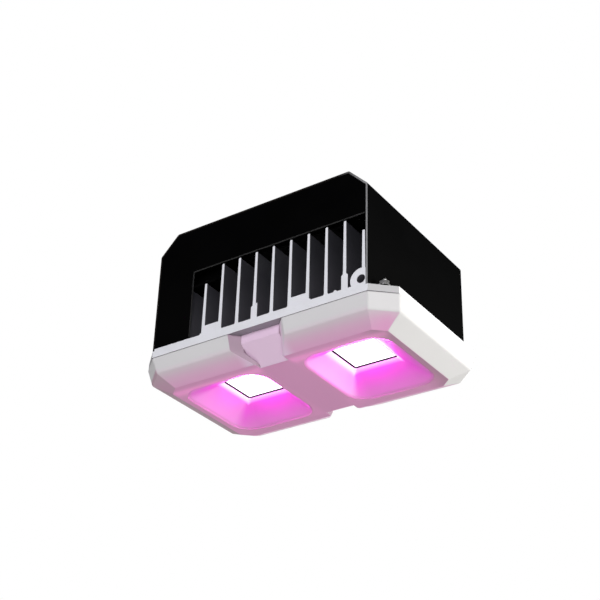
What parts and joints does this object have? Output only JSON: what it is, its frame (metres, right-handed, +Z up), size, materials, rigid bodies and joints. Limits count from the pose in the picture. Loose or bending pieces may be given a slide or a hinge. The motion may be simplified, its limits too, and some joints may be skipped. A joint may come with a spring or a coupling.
{
  "type": "led grow light",
  "caption": "Compact LED grow light: finned heat sink in a black sheet cover with a top fan, over a white housing with twin square reflectors.",
  "frame": {"origin": "middle of the base, level with the reflector rims", "axes": "+Z up, +X to the right seen from the front, front face at -Y"},
  "size_m": [0.2352, 0.147, 0.1353],
  "materials": {
    "heatsink_aluminium": "dark anodised extrusion, sawn faces machined bright",
    "white_moulding": "smooth white moulding, semi-gloss",
    "black_sheet": "satin black powder coat",
    "board": "white solder mask on a metal core",
    "led_emitter": "lit diodes under clear silicone",
    "window_glass": "clear tempered",
    "black_rubber": "matt",
    "steel_screws": "zinc plated",
    "bright_hardware": "nickel plated",
    "rivet_aluminium": "plain",
    "ring_steel": "nickel plated wire",
    "fan_plastic": "moulded black",
    "bearing_bronze": "sintered",
    "winding_copper": "enamelled copper on laminated steel",
    "magnet_ferrite": "ferrite, matt",
    "guard_chrome": "chrome plated wire",
    "black_screws": "black oxide",
    "driver_black": "matt black paint",
    "inlet_plastic": "moulded black",
    "pin_brass": "nickel plated brass",
    "lead_sheath": "soft black sheath"
  },
  "bodies": {
    "lamp": {"heatsink": "heatsink_aluminium", "reflector_housing": "white_moulding", "cover_shell": "black_sheet", "front_panel": "black_sheet", "rear_panel": "black_sheet", "cob_board_left": "board", "cob_board_right": "board", "led_array_left": "led_emitter", "led_array_right": "led_emitter", "lens_glass_left": "window_glass", "lens_glass_right": "window_glass", "lens_gasket_left": "black_rubber", "lens_gasket_right": "black_rubber", "cob_screws": "steel_screws", "housing_studs": "steel_screws", "nut_washers": "bright_hardware", "cap_nuts": "bright_hardware", "ring_straps": "bright_hardware", "ring_rivets": "rivet_aluminium", "fan_frame": "fan_plastic", "fan_bearings": "bearing_bronze", "fan_stator": "winding_copper", "fan_guard": "guard_chrome", "fan_screws": "black_screws", "driver_shelf": "black_sheet", "driver_case": "driver_black", "driver_lid": "driver_black", "driver_board": "board", "driver_screws": "steel_screws", "inlet_socket": "inlet_plastic", "inlet_pins": "pin_brass", "inlet_screws": "black_screws", "mains_lead": "lead_sheath", "led_lead_left": "lead_sheath", "led_lead_right": "lead_sheath", "fan_lead": "lead_sheath", "lead_grommets": "black_rubber"},
    "fan_wheel": {"fan_rotor": "fan_plastic", "fan_magnet": "magnet_ferrite", "fan_shaft": "steel_screws"},
    "ring_front_left": {"hanging_ring_front_left": "ring_steel"},
    "ring_front_right": {"hanging_ring_front_right": "ring_steel"},
    "ring_rear_left": {"hanging_ring_rear_left": "ring_steel"},
    "ring_rear_right": {"hanging_ring_rear_right": "ring_steel"}
  },
  "joints": [
    {"name": "fan_spin", "type": "hinge", "parent": "lamp", "child": "fan_wheel", "pos_m": [0.014, 0, 0.1161], "axis": [0, 0, 1], "continuous": true},
    {"name": "ring_front_left_fold", "type": "hinge", "parent": "lamp", "child": "ring_front_left", "pos_m": [-0.071, -0.06, 0.1325], "axis": [1, 0, 0], "range_deg": [0, 180]},
    {"name": "ring_front_right_fold", "type": "hinge", "parent": "lamp", "child": "ring_front_right", "pos_m": [0.071, -0.06, 0.1325], "axis": [1, 0, 0], "range_deg": [0, 180]},
    {"name": "ring_rear_left_fold", "type": "hinge", "parent": "lamp", "child": "ring_rear_left", "pos_m": [-0.071, 0.06, 0.1325], "axis": [-1, 0, 0], "range_deg": [0, 180]},
    {"name": "ring_rear_right_fold", "type": "hinge", "parent": "lamp", "child": "ring_rear_right", "pos_m": [0.071, 0.06, 0.1325], "axis": [-1, 0, 0], "range_deg": [0, 180]}
  ]
}
